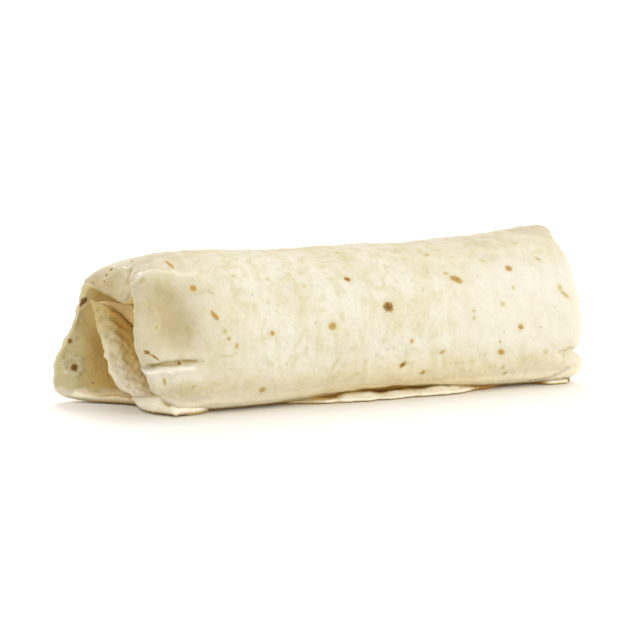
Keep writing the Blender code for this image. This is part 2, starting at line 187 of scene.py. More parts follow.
CREASE_STEPS = 4  # points on the curve for each of those places
CREASE_GREY_SHADE = 0.6

# Swellings and dents in the outside. Each: its height, its reach and its middle.
SWELLINGS = [
    (3.4, 5.0, (98.5, -3.0, 57.5)),
    (-1.3, 7.0, (85.0, -2.0, 60.0)),
    (0.6, 8.0, (60.0, 3.0, 60.0)),
    (0.9, 9.0, (-1.0, 3.0, 57.0)),
    (-0.6, 7.0, (-27.0, 3.0, 58.0)),
    (0.8, 8.0, (-66.0, -4.0, 57.0)),
    (0.9, 6.0, (-81.0, -14.0, 53.0)),
    (1.0, 6.0, (-82.0, 8.0, 50.0)),
    (-0.6, 4.0, (-72.0, -28.0, 43.0)),
]

# Brown spots on the outside and in the pocket. Each: where the spot begins and ends (x, turn, x,
# turn), its width, and how dark it is.
TOAST = [
    (-66.2, 0.465, -65.6, 0.419, 1.2, 0.75),
    (-63.0, 0.351, -61.7, 0.351, 1.8, 0.78),
    (-57.2, 0.310, -54.5, 0.290, 1.2, 0.70),
    (-52.2, 0.274, -51.7, 0.271, 1.2, 0.42),
    (-50.6, 0.261, -50.6, 0.257, 1.2, 0.52),
    (-47.5, 0.253, -47.5, 0.250, 1.4, 0.58),
    (-32.6, 0.268, -32.6, 0.265, 1.4, 0.60),
    (-44.2, 0.389, -44.6, 0.383, 1.1, 0.15),
    (-31.4, 0.378, -31.0, 0.375, 1.0, 0.12),
    (-22.6, 0.392, -21.4, 0.389, 0.9, 0.15),
    (-17.0, 0.357, -17.0, 0.354, 1.1, 0.12),
    (1.4, 0.497, 2.6, 0.481, 0.8, 0.45),
    (-63.7, 0.183, -63.9, 0.181, 1.1, 0.45),
    (-35.8, 0.165, -35.4, 0.157, 1.8, 0.58),
    (2.6, 0.463, 3.8, 0.450, 0.9, 0.60),
    (-0.2, 0.372, 1.8, 0.364, 1.4, 0.95),
    (27.0, 0.500, 31.8, 0.474, 0.8, 0.50),
    (37.0, 0.417, 39.8, 0.428, 1.1, 0.50),
    (44.2, 0.354, 48.2, 0.343, 2.0, 0.75),
    (42.6, 0.368, 43.0, 0.364, 1.1, 0.45),
    (15.4, 0.301, 15.8, 0.299, 2.9, 1.00),
    (-7.8, 0.272, -7.8, 0.269, 2.3, 0.60),
    (51.0, 0.281, 51.0, 0.278, 1.1, 0.28),
    (51.4, 0.269, 51.4, 0.268, 0.9, 0.35),
    (59.8, 0.396, 61.4, 0.390, 0.7, 0.30),
    (24.6, 0.244, 25.0, 0.243, 1.3, 0.58),
    (36.6, 0.217, 38.6, 0.224, 1.1, 0.55),
    (21.0, 0.193, 22.6, 0.207, 1.4, 0.92),
    (30.2, 0.174, 32.2, 0.175, 1.3, 0.60),
    (-6.4, 0.222, -8.0, 0.196, 0.8, 0.25),
    (77.0, 0.436, 78.6, 0.424, 0.8, 0.45),
    (82.6, 0.378, 83.8, 0.367, 0.8, 0.45),
    (69.0, 0.365, 70.6, 0.362, 1.8, 0.75),
    (89.0, 0.308, 90.6, 0.300, 1.0, 0.42),
    (89.0, 0.299, 93.0, 0.283, 1.0, 0.42),
    (69.8, 0.317, 69.8, 0.315, 0.9, 0.25),
    (63.4, 0.290, 64.6, 0.286, 1.2, 0.32),
    (94.1, 0.514, 94.1, 0.501, 0.7, 0.50),
    (72.2, 0.250, 72.2, 0.249, 1.7, 0.65),
    (62.6, 0.232, 62.6, 0.231, 0.8, 0.50),
    (63.0, 0.215, 64.2, 0.206, 1.8, 0.60),
    (65.8, 0.171, 65.8, 0.168, 0.9, 0.45),
    (67.4, 0.149, 68.2, 0.143, 1.2, 0.45),
    (83.4, 0.199, 83.8, 0.196, 1.2, 0.30),
    (-81.6, 0.326, -81.9, 0.325, 1.0, 0.50),
    (-79.0, 0.285, -77.9, 0.287, 1.1, 0.50),
    (-83.8, 0.253, -82.0, 0.249, 1.2, 0.98),
    (-82.0, 0.249, -78.1, 0.236, 0.6, 0.95),
    (-70.1, 0.231, -70.0, 0.229, 1.2, 0.95),
    (-76.3, 0.206, -75.0, 0.188, 0.9, 0.52),
    (-80.2, 0.564, -81.3, 0.554, 1.1, 1.00),
    (-82.3, 0.557, -83.4, 0.550, 0.9, 1.00),
    (-84.0, 0.544, -84.5, 0.543, 0.8, 0.90),
    (-87.0, 0.593, -86.5, 0.575, 0.8, 0.95),
    (-73.6, 0.537, -74.7, 0.522, 0.9, 0.70),
    (-68.5, 0.551, -68.0, 0.512, 0.7, 0.45),
]
POCKET_TOAST = [
    (-89.9, 0.671, -87.0, 0.642, 1.8, 1.15),
    (-92.6, 0.743, -92.0, 0.750, 1.5, 0.98),
    (-89.8, 0.744, -89.4, 0.735, 0.9, 0.35),
    (-91.3, 0.808, -90.6, 0.815, 2.0, 1.10),
    (-94.4, 0.787, -94.2, 0.785, 0.8, 0.60),
    (-84.0, 0.860, -83.8, 0.862, 0.7, 1.00),
    (-89.0, 0.700, -88.8, 0.704, 0.5, 0.40),
]
SPOT_GROWTH = 0.85
SPOT_TIP = 0.4
SPOT_LEAST_RUN = 0.01
NO_SPOT = -3.0
HIDDEN_SPOTS = 60
HIDDEN_SPOT_SEED = 41
HIDDEN_ALONG = (-80.0, 96.0)
HIDDEN_TURNS = (0.515, 0.985)
HIDDEN_RUN = 2.5
HIDDEN_RISE = 0.012
HIDDEN_WIDTH = 0.8
HIDDEN_EXTRA_WIDTH = 1.8
HIDDEN_DARKNESS = (0.25, 1.0)

# Waves in the skin. Each: their height, a seed, how many there are, the shortest and the longest.
ROLL_WAVES = [(0.30, 3, 26, 16.0, 44.0), (0.16, 5, 44, 4.5, 11.0), (0.06, 7, 60, 2.2, 4.5)]
POCKET_WAVES = (0.50, 11, 24, 7.0, 18.0)
RIM_WAVES = (0.22, 19, 50, 1.8, 6.0)
RIM_WAVE_ROWS = 5.0
PATCH_WAVES = (0.22, 13, 60, 2.5, 10.0)
OFF_TABLE = (0.0, 4.0)

# A blister in the pocket's wall, and the pocket's bottom strip, which gets painted light
BLISTER = (-91.3, 25.5, 13.8)
BLISTER_RADIUS = 3.4
BLISTER_WIDTH = 0.55
BLISTER_HEIGHT = 0.9
BLISTER_PALENESS = 0.5
BLISTER_WAVES = (0.50, 15, 20, 2.0, 6.0)
STRIP_TOP = (5.4, 3.4)
STRIP_WAVES = (0.90, 17, 30, 2.0, 9.0)

# The least and the most of the painted shade and light marks
SHADE_LIGHT_FLOUR_RANGE = (-1.2, 1.6)
WARM_SHADE_RANGE = (0.0, 2.0)
GREY_SHADE_RANGE = (0.0, 1.0)

# Zones that differ from plain dough. Each: the fades (axis, from, to) that bound it, and its painted
# shade (below 0 painted light; real flour on the right), painted warm shade and painted grey shade.
OUTSIDE_ZONES = [
    ([(Z, 2.2, 0.8)], 2.20, 0.30, 1.00),  # painted shade where the roll meets the table
    ([(Z, 12.0, 5.0)], -1.10, 0.00, 0.00),  # painted light, paler near the table
    ([(Z, 22.0, 12.0)], 0.12, 0.00, 0.00),  # painted shade on the lower side
    ([(Z, 22.0, 3.0)], 0.00, 0.42, 0.00),  # painted warm shade towards the table
    ([(X, 15.0, 70.0), (Z, 8.0, 22.0), (Z, 56.0, 46.0)], -0.45, 0.00, 0.00),  # the floury right
    ([(X, -46.0, -68.0)], 0.12, 0.00, 0.00),  # painted shade beside the open end
    ([(X, -50.0, -62.0), (Z, 4.0, 8.0), (Z, 15.0, 11.0)], 0.00, 0.00, 0.25),  # painted shade at the fold's foot
    ([(X, -76.0, -84.0), (Y, -12.0, -18.0)], 0.00, 0.00, 0.20),  # painted shade at the rim's front corner
]
# Painted shade under the edge of the open end's roof
ROOF_ZONE = [(X, -72.0, -81.0), (Y, -20.0, -15.0), (Y, 22.0, 14.0), (Z, 36.0, 42.0), (Z, 55.0, 48.0)]
POCKET_ZONES = [
    ([], 0.52, 0.25, 0.00),  # painted shade everywhere
    ([(X, -92.0, -80.0)], 0.45, 0.00, 0.00),  # more painted shade deep inside
    ([(X, -94.0, -78.0)], 0.00, 0.65, 0.00),  # painted warm shade from the rim inwards
]
# Painted light on the pocket's bottom strip, with a little painted warm shade
STRIP_ZONES = [
    ([], -1.20, 0.25, 0.00),
    ([(X, -96.0, -88.0)], -0.70, 0.00, 0.00),  # more painted light behind the rim
]

# Painted shade and painted light that follow the roll's own shape
PATCH_ZONE = [(X, -50.0, -66.0), (Z, 14.0, 22.0)]
BESIDE_ZONE = [(Z, 24.0, 31.0), (Z, 55.0, 49.0)]
BESIDE_SHIFT = 2.0
BESIDE_WIDENING = 1.7
# A painted highlight on the band below the front's crease
LIT_BAND_ZONE = [(X, -52.0, -64.0)]
LIT_BAND_LEVEL = 17.0
LIT_BAND_SPREAD = 3.5
# Painted warm shade low on the belly
BELLY_WARM_SHADE_ZONE = [(Z, 22.0, 3.0)]
BELLY_WARM_SHADE_X = 24.0
BELLY_WARM_SHADE_REACH = 45.0
# Painted shade where the belly meets the flap
BELLY_TURNS = (0.094, 0.083)
BELLY_LEVEL = 0.5
# Painted shade along the top, more on its right
TOP_TURN = 0.5
TOP_SPREAD = 0.070
TOP_RIGHT_ZONE = [(X, 0.0, 60.0)]
PAST_RIM_ROWS = (-1.5, 2.0)
# At the rim's upper front corner the pocket's painted ochre shade gives way to painted grey shade
CORNER_TURN = 0.40
CORNER_SPREAD = 0.035
CORNER_OCHRE_SHADE_LOSS = 0.6
CORNER_WARM_SHADE_LOSS = 0.1
CORNER_GREY_SHADE = 0.5


def eased(low, high, value):
    """0 below low and 1 above high, with a smooth step between them."""
    part = np.clip((value - low) / (high - low), 0.0, 1.0)
    return part * part * (3.0 - 2.0 * part)


def hump(value, middle, reach):
    """1 at middle, fading to nothing about two reaches away."""
    return np.exp(-(((value - middle) / reach) ** 2))


def unit(vectors):
    """Each vector divided by its length."""
    return vectors / np.linalg.norm(vectors, axis=-1, keepdims=True)


def hermite(start, start_slope, end, end_slope, part):
    """The cubic from start to end that leaves and arrives with the given slopes."""
    square = part * part
    cube = square * part
    leaving = (2 * cube - 3 * square + 1) * start + (cube - 2 * square + part) * start_slope
    return leaving + (3 * square - 2 * cube) * end + (cube - square) * end_slope


def ring_curve(knots, values, turns):
    """A smooth closed curve through values at the knots, read at turns from 0 to 1."""
    wide_knots = np.concatenate([knots[-2:] - 1.0, knots, knots[:3] + 1.0])
    wide_values = np.concatenate([values[-2:], values, values[:3]])
    slopes = (wide_values[2:] - wide_values[:-2]) / (wide_knots[2:] - wide_knots[:-2])[:, None]
    knots, values = wide_knots[1:-1], wide_values[1:-1]
    left = np.searchsorted(knots, turns, side="right") - 1
    width = (knots[left + 1] - knots[left])[:, None]
    part = (turns - knots[left])[:, None] / width
    return hermite(
        values[left], slopes[left] * width, values[left + 1], slopes[left + 1] * width, part
    )


def open_curve(values, part):
    """A smooth open curve through evenly spaced values, read at part from 0 to 1."""
    values = np.asarray(values)
    slopes = np.gradient(values, axis=0)
    place = part * (len(values) - 1)
    left = np.minimum(place.astype(int), len(values) - 2)
    rest = (place - left)[:, None]
    return hermite(values[left], slopes[left], values[left + 1], slopes[left + 1], rest)


def roll_section(x, turns):
    """The roll's outline at x: a superellipse, fuller below, pressed flat on the table."""
    x, turns = np.broadcast_arrays(x, turns)
    top = TOP_HEIGHT + SHOULDER_RISE * hump(x, SHOULDER_X, SHOULDER_REACH)
    top = top + END_RISE * eased(*END_RISE_ALONG, x)
    half_width = HALF_WIDTH - WAIST_DEPTH * hump(x, WAIST_X, WAIST_REACH)
    widest = WIDEST_LEVEL * top
    side = np.sin(2 * np.pi * turns)
    up = -np.cos(2 * np.pi * turns)
    power = 2.0 / np.where(up > 0, TOP_FULLNESS, UNDER_FULLNESS)
    reach = np.where(up > 0, top - widest, widest + FLAT_SAG)
    y = -half_width * np.sign(side) * np.abs(side) ** power
    z = widest + reach * np.sign(up) * np.abs(up) ** power
    undercut = hump(x, UNDERCUT_X, UNDERCUT_REACH) * hump(turns, UNDERCUT_TURN, UNDERCUT_SPREAD)
    return np.stack([x, y, np.maximum(z + UNDERCUT_LIFT * undercut, 0.0)], axis=-1)


def closed_end(turns):
    """The roll's last outline, drawn in over a superellipse's quarter to one level slit."""
    angle = 0.5 * np.pi * np.arange(1, CAP_ROWS + 1)[:, None] / CAP_ROWS
    scale = np.sin(angle) ** (2.0 / END_FULLNESS)
    depth = END_DEPTH * np.maximum(np.cos(angle), 0.0) ** (2.0 / END_FULLNESS)
    x, y, z = np.moveaxis(roll_section(ROLL_END, turns), -1, 0)
    lobe = hump(z, LOBE_LEVEL, LOBE_SPREAD) * eased(0.0, LOBE_EASE, depth)
    narrow = SLIT_WIDTH + (1.0 - SLIT_WIDTH) * scale
    lowered = SLIT_LEVEL + (z - SLIT_LEVEL) * scale
    return np.stack([x + depth + LOBE_DEPTH * lobe, y * narrow, lowered], axis=-1)


def pocket_floor(turns, scale):
    """Loops on the pocket's floor, shrunk from the roll's outline towards the middle."""
    outline = roll_section(ROLL_START, turns)
    x = np.broadcast_to(POCKET_X + POCKET_DISHING * (1.0 - scale), scale.shape[:1] + turns.shape)
    y = outline[:, 1] * POCKET_NARROWING * scale
    z = outline[:, 2] - 0.5 * outline[:, 2].max()
    return np.stack([x, y, POCKET_CENTRE + z * POCKET_LOWERING * scale], axis=-1)


def open_end(turns):
    """A cubic from the roll to the rim, half a turn round the rim's fold, then the pocket."""
    knots = np.array([row[0] for row in RIM])
    table = np.array([(*row[1], *row[2], row[3]) for row in RIM])
    values = ring_curve(knots, table, turns)
    nose, arrival, radius = values[:, :3], unit(values[:, 3:6]), values[:, 6:]
    ahead = ring_curve(knots, table[:, :3], (turns + RIM_STEP) % 1.0)
    behind = ring_curve(knots, table[:, :3], (turns - RIM_STEP) % 1.0)
    around = unit(ahead - behind)
    floor = pocket_floor(turns, np.ones((1, 1)))[0]
    inward = unit(floor - nose)
    outward = unit(arrival - inward)
    centre = nose - radius * outward
    outer_normal = unit(np.cross(around, arrival))
    inner_normal = unit(np.cross(around, inward))

    start = roll_section(ROLL_START, turns)
    outer = centre + radius * outer_normal
    length = np.linalg.norm(outer - start, axis=1, keepdims=True)
    leave = np.array([-RIM_LEAVING, 0.0, 0.0]) * length
    arrive = RIM_ARRIVING * arrival * length
    part = np.arange(1, SHEET_ROWS)[:, None, None] / SHEET_ROWS
    sheet = hermite(start, leave, outer, arrive, part)

    swing = np.linspace(0.0, 1.0, NOSE_ROWS)[:, None, None]
    early = np.clip(1.0 - 2.0 * swing, 0.0, 1.0)
    late = np.clip(2.0 * swing - 1.0, 0.0, 1.0)
    blend = early * outer_normal + (1.0 - early - late) * outward + late * inner_normal
    fold = centre + radius * unit(blend)

    inner = centre + radius * inner_normal
    wall = inner + (floor - inner) * np.arange(1, POCKET_ROWS + 1)[:, None, None] / POCKET_ROWS
    shrunk = pocket_floor(turns, 1.0 - np.arange(1, FLOOR_ROWS)[:, None] / FLOOR_ROWS)
    return np.concatenate([sheet, fold, wall, shrunk])


def slit_relief(points):
    """The closed end's slit pinches the roll in, and its crease runs on round both corners."""
    x, y, z = np.moveaxis(points, -1, 0)
    pinch = hump(z, SLIT_LEVEL, SLIT_SPREAD) * eased(ROLL_END - SLIT_RUN, ROLL_END + END_CORNER, x)
    tuck = hump(z, SLIT_LEVEL, TUCK_SPREAD) * (z > SLIT_LEVEL)
    inward = SLIT_DEPTH * pinch + TUCK_DEPTH * tuck * (1.0 - pinch)
    inward = inward * eased(ROLL_END - END_CORNER, ROLL_END + END_CORNER, x)
    return np.stack([x - inward, y * (1.0 - SLIT_NARROWING * pinch), z], axis=-1)


def front_hollow(x, y, z):
    """How far a place lies in the slanting hollow behind the open end's front fold, 0 to 1."""
    along = hump(x, HOLLOW_X - HOLLOW_SLANT * (z - HOLLOW_LEVEL), HOLLOW_REACH)
    return along * eased(*FRONT_STARTS, -y) * eased(*HOLLOW_BOTTOM, z) * (1.0 - eased(*HOLLOW_TOP, z))


def fold_crease(x, y, z):
    """How deep a place lies in the crease along the top of the front's standing fold, 0 to 1."""
    middle = CREASE_LEVEL + CREASE_ABOVE + CREASE_RISE * eased(*CREASE_RISE_ALONG, x)
    return hump(z, middle, CREASE_WIDTH) * (1.0 - eased(*CREASE_END, x)) * eased(*FRONT_STARTS, -y)


def open_end_relief(points):
    """Near the open end, the slanting hollow, a fold that stands out below a crease, a crown."""
    x, y, z = np.moveaxis(points, -1, 0)
    crease = CREASE_LEVEL + CREASE_RISE * eased(*CREASE_RISE_ALONG, x)
    fold = (1.0 - eased(*FOLD_TOP, z - crease)) * eased(*FOLD_BOTTOM, z)
    fold = fold * (1.0 - eased(*FOLD_END, x)) * eased(*FRONT_STARTS, -y)
    fold = fold - CREASE_DEPTH / FOLD_STAND * fold_crease(x, y, z)
    crown = hump(x, CROWN_X, CROWN_REACH) * eased(*CROWN_LEVELS, z)
    y = y + HOLLOW_DEPTH * front_hollow(x, y, z) - FOLD_STAND * fold
    return np.stack([x, y, z + CROWN_RISE * crown], axis=-1)


def off_line(points, start, end):
    """Each point's distance from the straight line between start and end."""
    run = end - start
    part = np.clip((points - start) @ run / max(run @ run, TINY), 0.0, 1.0)
    return np.linalg.norm(points - start - part[..., None] * run, axis=-1)


def in_ellipse(points, start, end, half_width):
    """0 at the middle of an ellipse with its tips just past start and end, 1 on its edge, and more
    outside."""
    middle, run = 0.5 * (start + end), end - start
    half_length = 0.5 * np.linalg.norm(run) + SPOT_TIP * half_width
    away = points - middle
    along = away @ unit(run)
    across = np.sqrt(np.maximum((away**2).sum(axis=-1) - along**2, 0.0))
    return np.hypot(along / max(half_length, half_width), across / half_width)


def near_path(points, path, width):
    """1 on a path of straight pieces, fading to nothing about two widths from it."""
    distance = np.min([off_line(points, *ends) for ends in zip(path[:-1], path[1:])], axis=0)
    return hump(distance, 0.0, width)


def waves(points, height, seed, count, shortest, longest):
    """A sum of sine waves of random heading, phase and length, the long ones taller, that mostly
    stays between -height and height."""
    draw = np.random.default_rng(seed)
    heading = unit(draw.normal(size=(count, 3)))
    length = draw.uniform(shortest, longest, count)
    phase = draw.uniform(0.0, 2 * np.pi, count)
    share = length / np.sqrt((length**2).sum())
    return height * (np.sin(points @ (2 * np.pi * heading / length[:, None]).T + phase) @ share)


def outward_of(points):
    """The direction away from the skin: across the grid's two directions."""
    around = np.roll(points, -1, axis=1) - np.roll(points, 1, axis=1)
    return unit(np.cross(around, np.gradient(points, axis=0)))


def raised(points, rise):
    """The skin moved outwards by each point's rise."""
    return points + outward_of(points) * rise[..., None]


def faded(points, fades):
    """How far each point lies in a zone, 0 to 1: its fades along x, y and z, multiplied."""
    return np.prod([eased(low, high, points[..., axis]) for axis, low, high in fades], axis=0)


def marks_of(rows):
    """The painted shade and light marks: each row's mask times its three strengths, added up."""
    return np.array([sum(row[kind] * row[0] for row in rows) for kind in (1, 2, 3)])


def zone_marks(points, zones):
    """How much painted shade and light the skin gets in zones that fades bound."""
    return marks_of([(faded(points, fades), *strengths) for fades, *strengths in zones])


def on_skin(points, rows, place):
    """The grid's point nearest to a place (x, turn), among the given rows."""
    column = int(round(place[1] * points.shape[1])) % points.shape[1]
    row = rows.start + np.abs(points[rows, column, 0] - place[0]).argmin()
    return points[row, column]


def toast_marks(points, rows, spots):
    """How far a point lies inside the brown spot round it, from 1 in its middle to 0 on its edge
    and less outside, and how dark that spot is."""
    inside = np.full(points.shape[:-1], NO_SPOT)
    dark = np.zeros(points.shape[:-1])
    for x1, turn1, x2, turn2, width, strength in spots:
        start = on_skin(points, rows, (x1, turn1))
        end = on_skin(points, rows, (x2, turn2)) + SPOT_LEAST_RUN
        depth = 1.0 - in_ellipse(points[rows], start, end, SPOT_GROWTH * width)
        dark[rows] = np.where(depth > inside[rows], strength, dark[rows])
        inside[rows] = np.maximum(inside[rows], depth)
    return inside, dark


def hidden_spots(count, seed):
    """Random small spots for the sides that face away, few of them wide."""
    draw = np.random.default_rng(seed)
    x = draw.uniform(*HIDDEN_ALONG, count)
    turn = draw.uniform(*HIDDEN_TURNS, count)
    run = draw.uniform(-HIDDEN_RUN, HIDDEN_RUN, count)
    rise = draw.uniform(-HIDDEN_RISE, HIDDEN_RISE, count)
    width = HIDDEN_WIDTH + HIDDEN_EXTRA_WIDTH * draw.uniform(0.0, 1.0, count) ** 2
    strength = draw.uniform(*HIDDEN_DARKNESS, count)
    return np.stack([x, turn, x + run, turn + rise, width, strength], axis=-1)


def skin(name, points, toast, dark, shade_light_flour, warm_shade, grey_shade):
    """A closed mesh over a grid that runs round in its second direction, with a pole at each end.
    The grid's marks go with it: toast and dark for brown spots, then painted shade (below 0 painted
    light, and real flour on the right), painted warm shade in folds and near the table, and painted
    grey shade."""
    rows, around, _ = points.shape
    poles = points[[0, -1]].mean(axis=1)
    places = (np.concatenate([points.reshape(-1, 3), poles]) - BOX_MIDDLE) * MM
    row, place = np.meshgrid(np.arange(rows - 1), np.arange(around), indexing="ij")
    here = row * around + place
    there = row * around + (place + 1) % around
    quads = np.stack([here, there, there + around, here + around], axis=-1).reshape(-1, 4)
    place = np.arange(around)
    following = (place + 1) % around
    first = np.stack([np.full(around, rows * around), following, place], axis=-1)
    base = (rows - 1) * around
    last = np.stack([np.full(around, rows * around + 1), base + place, base + following], axis=-1)
    mesh = bpy.data.meshes.new(name)
    mesh.from_pydata(places, [], quads.tolist() + first.tolist() + last.tolist())
    # Brown spots, then the painted shade and painted light that go with the skin
    marks = {
        "toast": toast,
        "dark": dark,
        "shade_light_flour": np.clip(shade_light_flour, *SHADE_LIGHT_FLOUR_RANGE),
        "warm_shade": np.clip(warm_shade, *WARM_SHADE_RANGE),
        "grey_shade": np.clip(grey_shade, *GREY_SHADE_RANGE),
    }
    for mark, values in marks.items():
        values = np.broadcast_to(values, (rows, around))
        ends = values[[0, -1]].mean(axis=1)
        attribute = mesh.attributes.new(mark, "FLOAT", "POINT")
        attribute.data.foreach_set("value", np.append(values, ends).astype(np.float32))
    mesh.shade_smooth()
    thing = bpy.data.objects.new(name, mesh)
    bpy.context.scene.collection.objects.link(thing)
    return thing


def dough_material(name):
    """Baked flour dough: clouded cream with straw streaks, freckles, veins and grey flecks, with the
    skin's painted shade and painted light, and brown spots with a straw halo. It is dry and matt,
    with a fine bumpy grain. All patterns lie in the object's own coordinates."""
    # The palest white paints highlights, and light on shaded folds; the next white is the dough's
    # floury clouds and also painted light. Ochre and the brown paint shade; straw is real streaks and
    # also painted shade. The three tints paint shade.
    highlight_white = (0.860, 0.825, 0.700, 1.0)
    flour_and_lit_white = (0.635, 0.600, 0.500, 1.0)
    cream = (0.590, 0.538, 0.400, 1.0)
    straw = (0.525, 0.475, 0.285, 1.0)
    ochre = (0.540, 0.425, 0.180, 1.0)
    fleck_grey = (0.360, 0.330, 0.220, 1.0)
    brown_shade = (0.400, 0.260, 0.090, 1.0)
    light_toast = (0.480, 0.400, 0.180, 1.0)
    orange_toast = (0.405, 0.250, 0.070, 1.0)
    dark_toast = (0.160, 0.085, 0.016, 1.0)
    warm_shade_tint = (1.060, 0.940, 0.700, 1.0)
    deep_warm_shade_tint = (1.050, 0.930, 0.660, 1.0)
    grey_shade_tint = (0.740, 0.680, 0.600, 1.0)

    material = bpy.data.materials.new(name)
    material.use_nodes = True
    nodes = material.node_tree.nodes
    links = material.node_tree.links
    shader = nodes["Principled BSDF"]
    place = nodes.new("ShaderNodeTexCoord").outputs["Object"]

    def feed(socket, value):
        if isinstance(value, bpy.types.NodeSocket):
            links.new(value, socket)
        else:
            socket.default_value = value

    def noise(scale, detail, stretch=(1.0, 1.0, 1.0)):
        mapping = nodes.new("ShaderNodeMapping")
        mapping.inputs["Scale"].default_value = stretch
        links.new(place, mapping.inputs["Vector"])
        texture = nodes.new("ShaderNodeTexNoise")
        links.new(mapping.outputs[0], texture.inputs["Vector"])
        texture.inputs["Scale"].default_value = scale
        texture.inputs["Detail"].default_value = detail
        return texture.outputs["Fac"]

    def spread(value, low, high, first=0.0, last=1.0, smooth=True):
        step = nodes.new("ShaderNodeMapRange")
        step.interpolation_type = "SMOOTHSTEP" if smooth else "LINEAR"
        for socket, number in zip(step.inputs[:5], (value, low, high, first, last)):
            feed(socket, number)
        return step.outputs[0]

    def sums(operation, first, second):
        node = nodes.new("ShaderNodeMath")
        node.operation = operation
        feed(node.inputs[0], first)
        feed(node.inputs[1], second)
        return node.outputs[0]

    def mixed(share, first, second):
        node = nodes.new("ShaderNodeMix")
        node.data_type = "RGBA"
        feed(node.inputs[0], share)
        feed(node.inputs[6], first)
        feed(node.inputs[7], second)
        return node.outputs[2]

    def layered(colour, layers):
        for value, low, high, most, tint in layers:
            colour = mixed(spread(value, low, high, 0.0, most), colour, tint)
        return colour

    def mark(title):
        node = nodes.new("ShaderNodeAttribute")
        node.attribute_name = title
        return node.outputs["Fac"]

    def valley(texture, width):
        """1 along the lines where a texture passes its middle value, 0 beyond their width."""
        return spread(sums("ABSOLUTE", sums("SUBTRACT", texture, 0.5), 0.0), width, 0.0)

    cloud = noise(48.0, 3.0)
    mottle = noise(260.0, 3.0)
    streak = noise(75.0, 4.0, (2.6, 1.0, 0.8))
    crumb = noise(620.0, 4.0)
    grain = noise(1500.0, 2.0)
    edge = noise(900.0, 2.0)
    vein = sums("MULTIPLY", valley(noise(110.0, 3.0), 0.014), spread(cloud, 0.45, 0.62, 0.35, 0.0))
    crinkle = valley(noise(190.0, 2.0, (1.6, 1.0, 1.0)), 0.040)
    crinkle = sums("MULTIPLY", crinkle, spread(noise(150.0, 2.0), 0.52, 0.64))

    # Each layer: what it follows, where it begins and where it is full, its most, and its colour
    shade_light_flour = mark("shade_light_flour")
    plain_layers = [
        (cloud, 0.36, 0.64, 1.00, flour_and_lit_white),
        (streak, 0.50, 0.74, 0.65, straw),
        (mottle, 0.50, 0.70, 0.60, straw),
        (crumb, 0.50, 0.75, 0.40, straw),
        (mottle, 0.48, 0.25, 0.40, flour_and_lit_white),
    ]
    # Painted light below 0 and painted shade above 0, from the skin's marks
    shade_light_layers = [
        (shade_light_flour, 0.00, -0.60, 1.00, flour_and_lit_white),
        (shade_light_flour, -0.60, -1.20, 1.00, highlight_white),
        (shade_light_flour, 0.00, 0.60, 1.00, straw),
        (shade_light_flour, 0.40, 1.00, 1.00, ochre),
        (shade_light_flour, 1.00, 1.60, 1.00, brown_shade),
    ]
    colour = layered(cream, plain_layers)
    colour = mixed(vein, colour, straw)
    colour = mixed(sums("MULTIPLY", crinkle, 0.35), colour, straw)
    colour = layered(colour, shade_light_layers)

    # Each painted shade tint: the mark that brings it, where it begins, what it multiplies the colour
    # by
    tints = [("warm_shade", 0.0, warm_shade_tint), ("warm_shade", 1.0, deep_warm_shade_tint), ("grey_shade", 0.0, grey_shade_tint)]
    for title, low, tint in tints:
        colour = mixed(spread(mark(title), low, low + 1.0, smooth=False), colour, tint)
        colour.node.blend_type = "MULTIPLY"

    cells = nodes.new("ShaderNodeTexVoronoi")
    cells.inputs["Scale"].default_value = 240.0
    links.new(place, cells.inputs["Vector"])
    chosen = nodes.new("ShaderNodeSeparateColor")
    links.new(cells.outputs["Color"], chosen.inputs[0])
    speck = spread(cells.outputs["Distance"], 0.16, 0.07)
    fleck = sums("MULTIPLY", speck, spread(chosen.outputs[0], 0.72, 0.80))
    colour = mixed(sums("MULTIPLY", fleck, 0.55), colour, fleck_grey)

    depth = sums("ADD", mark("toast"), spread(edge, 0.0, 1.0, -0.35, 0.35, smooth=False))
    darkness = mark("dark")
    colour = mixed(spread(depth, -1.1, 0.1, 0.0, 0.40), colour, straw)
    browned = sums("ADD", darkness, sums("MULTIPLY", sums("SUBTRACT", depth, 0.5), 0.40))
    brown = mixed(spread(browned, 0.30, 0.72), light_toast, orange_toast)
    brown = mixed(spread(browned, 0.74, 1.15), brown, dark_toast)
    spot = spread(depth, -0.05, 0.35)
    cover = sums("MULTIPLY", spot, spread(darkness, 0.10, 0.60, 0.60, 1.0))
    colour = mixed(cover, colour, brown)
    links.new(colour, shader.inputs["Base Color"])

    links.new(spread(mottle, 0.3, 0.7, 0.66, 0.80), shader.inputs["Roughness"])
    shader.inputs["Specular IOR Level"].default_value = 0.28
    shader.inputs["Subsurface Weight"].default_value = 0.10
    shader.inputs["Subsurface Radius"].default_value = (0.0030, 0.0021, 0.0012)
    shader.inputs["Subsurface Scale"].default_value = 1.0

    height = sums("MULTIPLY", mottle, 0.55)
    bumps = [(crumb, 0.30), (edge, 0.16), (grain, 0.10), (spot, 0.10), (fleck, -0.10), (crinkle, -0.12)]
    for texture, share in bumps:
        height = sums("ADD", height, sums("MULTIPLY", texture, share))
    bump = nodes.new("ShaderNodeBump")
    bump.inputs["Distance"].default_value = 0.001
    bump.inputs["Strength"].default_value = 0.8
    links.new(height, bump.inputs["Height"])
    links.new(bump.outputs[0], shader.inputs["Normal"])
    return material


dough = dough_material("baked_flour_dough")

